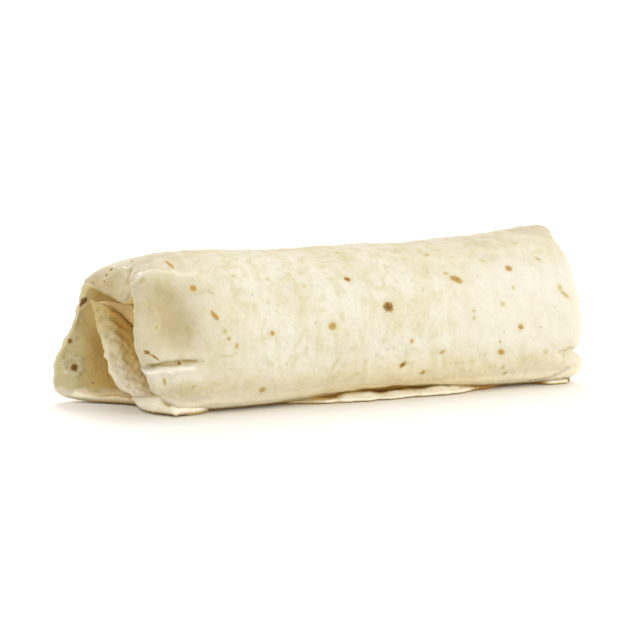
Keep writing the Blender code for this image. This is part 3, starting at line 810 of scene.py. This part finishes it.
turns = np.arange(AROUND) / AROUND
along = ROLL_END + (ROLL_START - ROLL_END) * np.arange(1, ROLL_ROWS + 1)[:, None] / ROLL_ROWS
body = np.concatenate([closed_end(turns), roll_section(along, turns), open_end(turns)])
body = slit_relief(open_end_relief(body))
x, y, z = np.moveaxis(body, -1, 0)
outside = slice(0, OUTER_ROWS)
pocket = slice(OUTER_ROWS, len(body))
past_rim_by = np.arange(len(body))[:, None] - OUTER_ROWS
outer = past_rim_by < 0
past_rim = eased(*PAST_RIM_ROWS, past_rim_by)

# Places that follow the roll's own shape
patchy = 1.0 + waves(body, *PATCH_WAVES)
in_hollow = (0.5 + 0.5 * patchy) * front_hollow(x, y, z)
beside_middle = HOLLOW_X + BESIDE_SHIFT - HOLLOW_SLANT * (z - HOLLOW_LEVEL)
beside_hollow = hump(x, beside_middle, BESIDE_WIDENING * HOLLOW_REACH)
beside_hollow = beside_hollow * faded(body, BESIDE_ZONE) * eased(*FRONT_STARTS, -y)
# a painted highlight on the band below the crease
lit_band = hump(z, LIT_BAND_LEVEL, LIT_BAND_SPREAD) * faded(body, LIT_BAND_ZONE)
under_belly = eased(*BELLY_TURNS, turns) * hump(x, UNDERCUT_X, UNDERCUT_REACH) * (z > BELLY_LEVEL)
on_top = hump(turns, TOP_TURN, TOP_SPREAD)
from_blister = np.linalg.norm(body - BLISTER, axis=-1)
blister_ring = hump(from_blister, BLISTER_RADIUS + waves(body, *BLISTER_WAVES), BLISTER_WIDTH)
bottom_strip = eased(*STRIP_TOP, z + waves(body, *STRIP_WAVES))
at_corner = hump(turns, CORNER_TURN, CORNER_SPREAD)

# Each: where it shows on the outside, and how much painted shade (below 0, painted light),
# painted warm shade and painted grey shade it gets
outside_marks = [
    # painted shade in and beside the hollow, and in the crease
    (in_hollow, 0.25, 0.20, 0.62),
    (beside_hollow, 0.00, 0.00, 0.22),
    (fold_crease(x, y, z), 0.50, 0.00, 0.60),
    # a painted highlight on the band below the crease
    (lit_band, -0.60, 0.00, 0.00),
    # painted warm shade low on the belly
    (hump(x, BELLY_WARM_SHADE_X, BELLY_WARM_SHADE_REACH) * faded(body, BELLY_WARM_SHADE_ZONE), 0.00, 0.65, 0.00),
    # painted shade under the belly and under the roof
    (under_belly, 2.00, 1.00, 1.00),
    (faded(body, ROOF_ZONE), 0.00, 0.45, 0.70),
    # patchy painted shade near the open end, and painted shade on the top
    (patchy * faded(body, PATCH_ZONE), 0.00, 0.00, 0.24),
    (on_top, 0.00, 0.00, 0.70),
    (on_top * faded(body, TOP_RIGHT_ZONE), 0.00, 0.00, 0.20),
]
shade_light_flour, warm_shade, grey_shade = outer * (marks_of(outside_marks) + zone_marks(body, OUTSIDE_ZONES))
rise = sum(waves(body, *layer) for layer in ROLL_WAVES)
for height, width, shade, path in CREASES:
    places = open_curve(path, np.linspace(0.0, 1.0, CREASE_STEPS * len(path)))
    close = near_path(body, [on_skin(body, outside, place) for place in places], width) * outer
    rise = rise + height * close
    # grooves get painted shade and ridges a painted highlight
    shade_light_flour = shade_light_flour + shade * close
    grey_shade = grey_shade + CREASE_GREY_SHADE * shade * close
for height, reach, middle in SWELLINGS:
    rise = rise + height * hump(np.linalg.norm(body - middle, axis=-1), 0.0, reach) * outer
rise = rise + (BLISTER_HEIGHT * blister_ring + waves(body, *POCKET_WAVES)) * ~outer
rise = rise + waves(body, *RIM_WAVES) * hump(past_rim_by, 0.0, RIM_WAVE_ROWS)

# Painted shade in the pocket, painted light on its bottom strip, a paler blister ring, and painted grey
# shade at the rim's upper corner
inner_marks = zone_marks(body, POCKET_ZONES) + bottom_strip * zone_marks(body, STRIP_ZONES)
inner_shade_light = inner_marks[0] * (1.0 - CORNER_OCHRE_SHADE_LOSS * at_corner) - BLISTER_PALENESS * blister_ring
shade_light_flour = shade_light_flour + past_rim * inner_shade_light
warm_shade = warm_shade + past_rim * inner_marks[1] * (1.0 - CORNER_WARM_SHADE_LOSS * at_corner)
grey_shade = grey_shade + past_rim * CORNER_GREY_SHADE * at_corner
outside_spots = TOAST + hidden_spots(HIDDEN_SPOTS, HIDDEN_SPOT_SEED).tolist()
toast, dark = toast_marks(body, outside, outside_spots)
pocket_toast, pocket_dark = toast_marks(body, pocket, POCKET_TOAST)
toast[pocket] = pocket_toast[pocket]
dark[pocket] = pocket_dark[pocket]
body = raised(body, rise * eased(*OFF_TABLE, z))

roll = skin("tortilla_roll", body, toast, dark, shade_light_flour, warm_shade, grey_shade)
roll.data.materials.append(dough)
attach(roll, "root")
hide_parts("tortilla")


# ------------------------------------------------------------------------------------------------
# The inner folds. The tortilla's inner turn is tucked into the open end as two folded double
# layers that face the front: a rounded, wrinkled band, and a flatter, smoother one behind it.

PANEL_TIP = np.array([-89.4, 10.0, 40.6])
PANEL_ALONG = np.array([0.90, -0.43, 0.0])
PANEL_UP = np.array([-0.14, 0.49, 0.86])
PANEL_BEHIND = unit(np.cross(PANEL_UP, PANEL_ALONG))
PANEL_ROWS = 150
PANEL_NOSE = 16
PANEL_FACE = 54

PANEL_BEND = 1.15

# Each row of an inner fold: (along, up) of its fold, (along, up) of its far edge, its thickness
FRONT_FOLD = [
    (0.0, 0.6, 1.2, 0.4, 1.0),
    (-0.5, -3.5, 5.6, -2.0, 3.4),
    (-0.8, -8.0, 10.0, -6.0, 4.8),
    (-1.2, -14.0, 15.5, -11.5, 5.0),
    (-1.6, -20.0, 21.0, -18.0, 5.0),
    (-1.9, -26.0, 21.0, -25.0, 5.0),
    (-1.6, -31.5, 21.0, -31.0, 5.0),
    (0.2, -36.0, 21.0, -35.0, 4.6),
    (3.2, -39.0, 21.0, -38.0, 3.6),
]
BACK_FOLD = [
    (0.9, 0.2, 1.0, -8.0, 1.6),
    (5.0, 0.9, 3.0, -26.0, 3.4),
    (10.0, 0.7, 8.0, -31.0, 3.6),
    (15.0, 0.0, 14.0, -33.0, 3.6),
    (23.0, -1.6, 22.0, -33.0, 3.6),
]
FRONT_FOLD_BEND = (5.5, 0.22)
BACK_FOLD_BEND = (9.0, 0.10)
BACK_FOLD_SETBACK = 2.8

# The front fold's rounded band, and the waves that cross it and cover the whole fold
BAND_FADE = (12.0, 6.0)
BAND_EDGE = (0.5, 3.0)
BAND_EDGE_SHARE = 0.3
CROSS_SLANT = 0.35
CROSS_STRETCH = 0.4
CROSS_WAVES = (1.0, 21, 70, 2.2, 6.0)
CROSS_HEIGHT = 0.80
CROSS_FADE = 0.2
# how much painted light the wrinkles' crests get, and painted shade their troughs
CROSS_SHADE = 0.25
FRONT_FOLD_WAVES = [(0.28, 25, 50, 2.2, 6.0), (0.40, 27, 20, 9.0, 22.0), (0.16, 29, 60, 1.5, 3.0)]
FRONT_FOLD_TIP = (0.6, -5.0)
BACK_FOLD_WAVES = (0.30, 31, 24, 5.0, 14.0)
BACK_FOLD_EDGE = (1.0, 3.0)

# The front fold's painted shade and painted light, by how far a place is from the fold and how far up
REACH, LEVEL = range(2)
FRONT_FOLD_ZONES = [
    ([], -0.65, 0.40, 0.04),
    ([(LEVEL, -33.0, -20.0)], 0.75, 0.00, 0.00),
    ([(LEVEL, -20.0, -4.0)], 0.45, 0.00, 0.00),
    ([(LEVEL, -20.0, -6.0)], 0.00, 0.50, 0.00),
    ([(LEVEL, -21.0, -6.0)], 0.00, 0.00, 0.65),
    ([(REACH, 3.5, 10.0)], 0.75, 0.70, 0.00),
    ([(REACH, 4.0, 9.0)], 0.00, 0.00, 0.30),
]
# Painted light over the whole back fold, tinted with painted warm shade
BACK_FOLD_ZONES = [
    ([], -1.10, 1.80, 0.00),
    ([(X, -74.0, -84.0)], 0.00, 0.00, 0.70),  # painted grey shade towards the rim
]


def folded_sheet(table, setback, bend_from, bend):
    """A double layer with a rounded fold: across it, a straight-sided loop with half-round ends
    that runs from its fold to its far edge, and bends away beyond bend_from. With the points come
    how far each is from the fold, and how far up."""
    values = open_curve(table, np.linspace(0.0, 1.0, PANEL_ROWS))
    fold, edge, half = values[:, :2], values[:, 2:4], 0.5 * values[:, 4:5]
    run = edge - fold
    length = np.linalg.norm(run, axis=1, keepdims=True)
    face = np.linspace(0.0, 1.0, PANEL_FACE)[1:-1]
    nose = np.linspace(0.5 * np.pi, 1.5 * np.pi, PANEL_NOSE)
    share = np.concatenate([0 * nose, face, 0 * nose + 1, 1 - face])
    angle = np.concatenate([nose, 0 * face + 1.5 * np.pi, nose + np.pi, 0 * face + 0.5 * np.pi])
    reach = half * (1 + np.cos(angle)) + share * (length - 2 * half)
    depth = half * np.sin(angle) + bend * np.maximum(reach - bend_from, 0.0) ** PANEL_BEND
    flat = fold[:, None] + reach[..., None] * (run / length)[:, None]
    points = PANEL_TIP + flat[..., :1] * PANEL_ALONG + flat[..., 1:] * PANEL_UP
    return points + (depth + setback)[..., None] * PANEL_BEHIND, reach, flat[..., 1]


def add_fold(name, points, shade_light_flour, warm_shade, grey_shade):
    """A fold without brown spots, with its mesh and the dough."""
    thing = skin(name, points, NO_SPOT, 0.0, shade_light_flour, warm_shade, grey_shade)
    thing.data.materials.append(dough)
    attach(thing, "root")


points, reach, level = folded_sheet(FRONT_FOLD, 0.0, *FRONT_FOLD_BEND)
band_edge = BAND_EDGE_SHARE + (1.0 - BAND_EDGE_SHARE) * eased(*BAND_EDGE, reach)
band = eased(*BAND_FADE, reach) * band_edge
across = np.stack([level + CROSS_SLANT * reach, CROSS_STRETCH * reach, 0.0 * reach], axis=-1)
wrinkle = waves(across, *CROSS_WAVES)
rise = CROSS_HEIGHT * band * wrinkle + sum(waves(points, *layer) for layer in FRONT_FOLD_WAVES)
shade_light_flour, warm_shade, grey_shade = zone_marks(np.stack([reach, level], axis=-1), FRONT_FOLD_ZONES)
# Painted light on the wrinkles' crests and painted shade in their troughs
shade_light_flour = shade_light_flour - CROSS_SHADE * band * eased(CROSS_FADE, 1.0, wrinkle)
grey_shade = grey_shade + CROSS_SHADE * band * eased(CROSS_FADE, -1.0, wrinkle)
add_fold("inner_fold_front", raised(points, rise * eased(*FRONT_FOLD_TIP, level)), shade_light_flour, warm_shade, grey_shade)

points, reach, level = folded_sheet(BACK_FOLD, BACK_FOLD_SETBACK, *BACK_FOLD_BEND)
rise = waves(points, *BACK_FOLD_WAVES) * eased(*BACK_FOLD_EDGE, reach)
add_fold("inner_fold_back", raised(points, rise), *zone_marks(points, BACK_FOLD_ZONES))


# ------------------------------------------------------------------------------------------------
# The corner lip. At the open end's front corner the bottom layer is folded back on itself, and its
# rounded, wrinkled fold shows under the front. It tapers off under the roll.

# Each row: the fold's middle (x, y, z) and its radius
CORNER_LIP = [
    (-69.5, 7.0, 1.6, 1.5),
    (-72.4, -2.0, 3.6, 3.5),
    (-71.8, -9.0, 4.3, 4.1),
    (-69.4, -15.2, 3.9, 3.7),
    (-65.2, -19.0, 3.0, 2.8),
    (-58.0, -17.5, 1.8, 1.7),
    (-50.0, -13.0, 1.2, 1.1),
    (-43.0, -9.0, 0.9, 0.8),
]
LIP_WIDENING = 1.15
LIP_ROWS = 150
LIP_AROUND = 60
CLEAR_OF_TABLE = 0.05
LIP_PEAK = [(-71.3, -15.3, 7.0), (-69.5, -19.5, 5.0), (-68.0, -21.5, 1.0)]
LIP_PEAK_WIDTH = 1.0
LIP_PEAK_HEIGHT = 1.4
LIP_WAVES = [(0.30, 35, 30, 3.0, 9.0), (0.12, 37, 30, 1.5, 3.0)]
# Painted light on the lip, and painted shade on its underside
LIP_ZONES = [
    ([], -1.10, 0.30, 0.00),
    ([(Z, 1.8, 0.4)], 2.60, 1.00, 0.00),  # painted shade on the underside
]


def corner_lip():
    """A tube whose radius changes along a bent path, a little wider than it is high."""
    path = open_curve(CORNER_LIP, np.linspace(1.0, 0.0, LIP_ROWS))
    heading = unit(np.gradient(path[:, :3], axis=0) * (1.0, 1.0, 0.0))
    angle = 2 * np.pi * np.arange(LIP_AROUND) / LIP_AROUND
    wide = path[:, 3:] * LIP_WIDENING * np.cos(angle)
    x = path[:, :1] - heading[:, 1:2] * wide
    y = path[:, 1:2] + heading[:, :1] * wide
    return np.stack([x, y, path[:, 2:3] + path[:, 3:] * np.sin(angle)], axis=-1)


points = corner_lip()
rise = LIP_PEAK_HEIGHT * near_path(points, np.array(LIP_PEAK), LIP_PEAK_WIDTH)
points = raised(points, rise + sum(waves(points, *layer) for layer in LIP_WAVES))
points[..., Z] = np.maximum(points[..., Z], CLEAR_OF_TABLE)
add_fold("corner_lip", points, *zone_marks(points, LIP_ZONES))


# ------------------------------------------------------------------------------------------------
# The seam flap. The tortilla's free edge lies under the front and shows again at the closed end: a
# thin sheet whose edge bows out, ripples off the table and is nibbled by small cracks.

FLAP_THICKNESS = 1.5
FLAP_START = -24.0
FLAP_BOW_END = 76.0
FLAP_END = 102.0
FLAP_ROOT_Y = -4.0
FLAP_HIDDEN = 11.0
FLAP_BOW = 13.4
FLAP_BOW_FULLNESS = 0.6
FLAP_LIFT = 0.10
FLAP_WEDGE = 1.7
FLAP_WEDGE_RUN = (0.3, 4.2)
FLAP_LOW_PLACES = [(-5.0, 3.0, 0.40), (18.0, 5.0, 0.60), (35.0, 3.0, 0.40)]  # x, reach, share
FLAP_LIFT_LENGTH = 38.3
FLAP_LIFT_PHASE = 1.0
FLAP_CORNER = 9.5
FLAP_CORNER_ALONG = (80.0, 92.0)
FLAP_CORNER_ROUNDING = 0.4
FLAP_CORNER_TIP = (98.0, 102.0)
FLAP_ROWS = 460
FLAP_FACE = 26
FLAP_NOSE = 12
FLAP_EDGE_WAVES = [(0.90, 43, 24, 9.0, 30.0), (0.22, 45, 40, 2.0, 7.0)]
FLAP_WEDGE_WAVES = (0.25, 51, 20, 5.0, 16.0)
FLAP_FACE_WAVES = [(0.22, 47, 40, 4.0, 11.0), (0.05, 49, 40, 1.2, 2.5)]
FLAP_EDGE_SIDE = (-12.0, -19.0)

# Cracks in the edge. Each: its x, how wide it is, and how deep.
FLAP_NOTCHES = [
    (-16.0, 1.2, 0.9),
    (-1.0, 1.6, 1.0),
    (14.5, 1.8, 0.9),
    (31.5, 1.5, 1.1),
    (46.0, 1.2, 0.7),
]
# Painted light on the flap, painted shade under it and in the gap under the roll
FLAP_ZONES = [
    ([], -1.05, 0.25, 0.00),
    ([(Z, 0.9, 0.2)], 2.80, 1.00, 0.00),  # painted shade on the underside
    ([(Y, -20.6, -18.0)], 0.795, 0.45, 0.30),  # painted shade in the gap under the roll
    ([(Y, -20.6, -18.0), (X, -14.0, -7.0)], 1.855, 1.05, 0.70),  # more painted shade in the gap, past the flap's left end
]


def flap_edge(x):
    """The y of the flap's edge, a bow and a corner with cracks in them, and how far its ripples
    lift it off the table, a sine along x."""
    part = np.clip((x - FLAP_START) / (FLAP_BOW_END - FLAP_START), 0.0, 1.0)
    bow = np.sin(np.pi * part) ** FLAP_BOW_FULLNESS
    corner = eased(*FLAP_CORNER_ALONG, x) * (1.0 - FLAP_CORNER_ROUNDING * eased(*FLAP_CORNER_TIP, x))
    line = np.stack([x, 0.0 * x, 0.0 * x], axis=-1)
    ragged = sum(waves(line, *layer) for layer in FLAP_EDGE_WAVES)
    for middle, reach, depth in FLAP_NOTCHES:
        ragged = ragged - depth * hump(x, middle, reach)
    reach = (FLAP_BOW + ragged) * bow + FLAP_CORNER * corner
    ripple = 1.0 + np.sin(2.0 * np.pi * x / FLAP_LIFT_LENGTH + FLAP_LIFT_PHASE)
    return -FLAP_HIDDEN - reach, FLAP_LIFT * bow * ripple


def seam_flap():
    """A sheet from its root under the roll to its half-round edge, which the ripples lift. Its top
    rises in a wedge behind the edge, lower in places."""
    x = np.linspace(FLAP_END, FLAP_START, FLAP_ROWS)[:, None]
    edge, lift = flap_edge(x)
    half = 0.5 * FLAP_THICKNESS
    face = np.linspace(0.0, 1.0, FLAP_FACE)
    nose = np.linspace(-0.5 * np.pi, 0.5 * np.pi, FLAP_NOSE)[1:-1]
    share = np.concatenate([face, 0 * nose + 1, face[::-1]])
    angle = np.concatenate([0 * face - 0.5 * np.pi, nose, 0 * face + 0.5 * np.pi])
    y = FLAP_ROOT_Y + share * (edge + half - FLAP_ROOT_Y) - half * np.cos(angle)
    z = CLEAR_OF_TABLE + half * (1 + np.sin(angle)) + lift * share**2
    wedge = FLAP_WEDGE * eased(*FLAP_WEDGE_RUN, y - edge) * (1.0 + np.sin(angle)) / 2
    wedge = wedge * (1.0 + waves(np.stack([x, 0.0 * x, 0.0 * x], axis=-1), *FLAP_WEDGE_WAVES))
    for middle, reach, depth in FLAP_LOW_PLACES:
        wedge = wedge * (1.0 - depth * hump(x, middle, reach))
    return np.stack([x + 0.0 * y, y, z + wedge], axis=-1)


points = seam_flap()
rise = eased(*FLAP_EDGE_SIDE, points[..., Y]) * sum(waves(points, *layer) for layer in FLAP_FACE_WAVES)
points = raised(points, rise)
points[..., Z] = np.maximum(points[..., Z], CLEAR_OF_TABLE)
add_fold("seam_flap", points, *zone_marks(points, FLAP_ZONES))


# ------------------------------------------------------------------------------------------------
# The studio: a wide white table top, a nearly even white surround, a soft lamp low at the front
# right, another one above and behind, and a long lens.

# Sizes here are in metres, and the lens's focal length is in millimetres.
TABLE_REACH = 8.0
TABLE_WHITES = [(0.830, 0.812, 0.765, 1.0), (0.840, 0.822, 0.775, 1.0)]
TABLE_CLOUD_SCALE = 30.0
HORIZON_LIGHT = 1.20
ZENITH_LIGHT = 1.39

# Each lamp: its name, place, width and power
LAMPS = [
    ("front_lamp", (0.70, -0.88, 0.25), 0.44, 3.7),
    ("top_lamp", (0.15, 0.80, 0.85), 0.50, 5.3),
]
LENS_AIM = np.array([-0.0025, 0.00025, 0.029])
LENS_TURN = np.radians(-25.0)
LENS_RISE = np.radians(9.0)
LENS_DISTANCE = 1.2
LENS_LENGTH = 175.5
LENS_CLIP = (0.05, 50.0)
FRAME_SHIFT = 0.003125


def table_top():
    """One wide square that the wrap lies on, matt and faintly clouded."""
    material = bpy.data.materials.new("white_table")
    material.use_nodes = True
    nodes = material.node_tree.nodes
    links = material.node_tree.links
    shader = nodes["Principled BSDF"]
    texture = nodes.new("ShaderNodeTexNoise")
    texture.inputs["Scale"].default_value = TABLE_CLOUD_SCALE
    links.new(nodes.new("ShaderNodeTexCoord").outputs["Object"], texture.inputs["Vector"])
    whites = nodes.new("ShaderNodeMix")
    whites.data_type = "RGBA"
    whites.inputs[6].default_value, whites.inputs[7].default_value = TABLE_WHITES
    links.new(texture.outputs["Fac"], whites.inputs[0])
    links.new(whites.outputs[2], shader.inputs["Base Color"])
    shader.inputs["Roughness"].default_value = 0.9
    shader.inputs["Specular IOR Level"].default_value = 0.1
    mesh = bpy.data.meshes.new("table_top")
    corners = [(-1, -1, 0), (1, -1, 0), (1, 1, 0), (-1, 1, 0)]
    mesh.from_pydata(np.array(corners) * TABLE_REACH, [], [(0, 1, 2, 3)])
    mesh.materials.append(material)
    thing = bpy.data.objects.new("table_top", mesh)
    bpy.context.scene.collection.objects.link(thing)
    return thing


def aimed(thing, place, aim):
    """Puts a lamp or camera at a place, turned so that its own -Z looks at its aim."""
    back = unit(place - aim)
    right = unit(np.cross((0.0, 0.0, 1.0), back))
    turn = np.eye(4)
    turn[:3, :3] = np.stack([right, np.cross(back, right), back], axis=-1)
    turn[:3, 3] = place
    bpy.context.scene.collection.objects.link(thing)
    thing.matrix_world = turn.T


table_top()

surround = bpy.data.worlds.new("surround")
surround.use_nodes = True
nodes = surround.node_tree.nodes
links = surround.node_tree.links
split = nodes.new("ShaderNodeSeparateXYZ")
links.new(nodes.new("ShaderNodeTexCoord").outputs["Generated"], split.inputs[0])
fade = nodes.new("ShaderNodeMapRange")
fade.inputs[3].default_value = HORIZON_LIGHT
fade.inputs[4].default_value = ZENITH_LIGHT
links.new(split.outputs["Z"], fade.inputs[0])
nodes["Background"].inputs["Color"].default_value = (1.0, 1.0, 1.0, 1.0)
links.new(fade.outputs[0], nodes["Background"].inputs["Strength"])
bpy.context.scene.world = surround

for title, place, size, power in LAMPS:
    lamp = bpy.data.lights.new(title, "AREA")
    lamp.shape = "DISK"
    lamp.size = size
    lamp.energy = power
    aimed(bpy.data.objects.new(title, lamp), np.array(place), LENS_AIM)

lens = bpy.data.cameras.new("lens")
lens.lens = LENS_LENGTH
lens.shift_x = FRAME_SHIFT
lens.clip_start, lens.clip_end = LENS_CLIP
level = np.cos(LENS_RISE)
towards_lens = np.array([level * np.sin(LENS_TURN), -level * np.cos(LENS_TURN), np.sin(LENS_RISE)])
camera = bpy.data.objects.new("lens", lens)
aimed(camera, LENS_AIM + LENS_DISTANCE * towards_lens, LENS_AIM)
bpy.context.scene.camera = camera
bpy.context.scene.view_settings.view_transform = "Standard"

bpy.context.view_layer.update()
